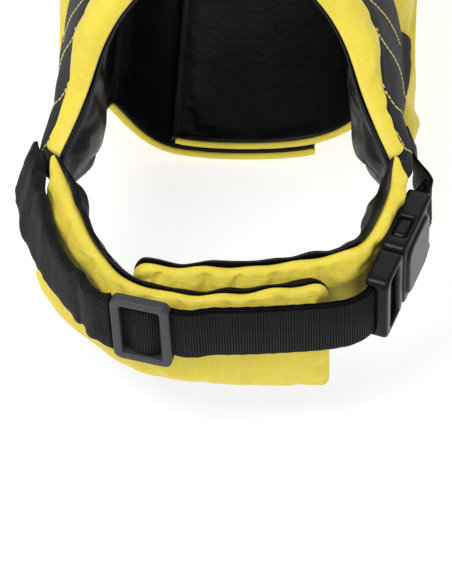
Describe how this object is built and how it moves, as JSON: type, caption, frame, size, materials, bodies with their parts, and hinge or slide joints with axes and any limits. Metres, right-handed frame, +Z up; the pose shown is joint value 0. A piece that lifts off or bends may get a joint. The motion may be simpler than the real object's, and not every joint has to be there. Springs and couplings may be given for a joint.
{
  "type": "dog life jacket",
  "caption": "Padded dog life jacket with lapped chest and belly panels, shaped round an empty body and closed at the neck by a webbing belt with slider and side-release buckle.",
  "frame": {"origin": "where the wearer's back carries the jacket: inner face of the lining, on the top line of the back", "axes": "+Y from the neck opening to the rear hem, +Z up, +X towards the buckle side"},
  "size_m": [0.1669, 0.3702, 0.1647],
  "materials": {
    "shell": "yellow ripstop over foam",
    "lining": "smooth black lining cloth",
    "yoke": "charcoal woven cloth",
    "webbing": "black ribbed webbing",
    "plastic": "black moulded plastic"
  },
  "bodies": {
    "root": {"body_lining": "lining", "collar": "shell", "yoke": "yoke", "back_pad": "shell", "side_pad_right": "shell", "side_pad_left": "shell", "belly_flap_right": "shell", "belly_lining_right": "lining", "belly_flap_left": "shell", "belly_lining_left": "lining", "chest_band_right": "shell", "chest_band_right_lining": "lining", "chest_band_left": "shell", "chest_band_left_lining": "lining", "neck_belt": "webbing", "belt_sleeve": "yoke", "slider": "plastic", "buckle_female": "plastic", "buckle_male": "plastic", "buckle_strap": "webbing"}
  },
  "joints": []
}
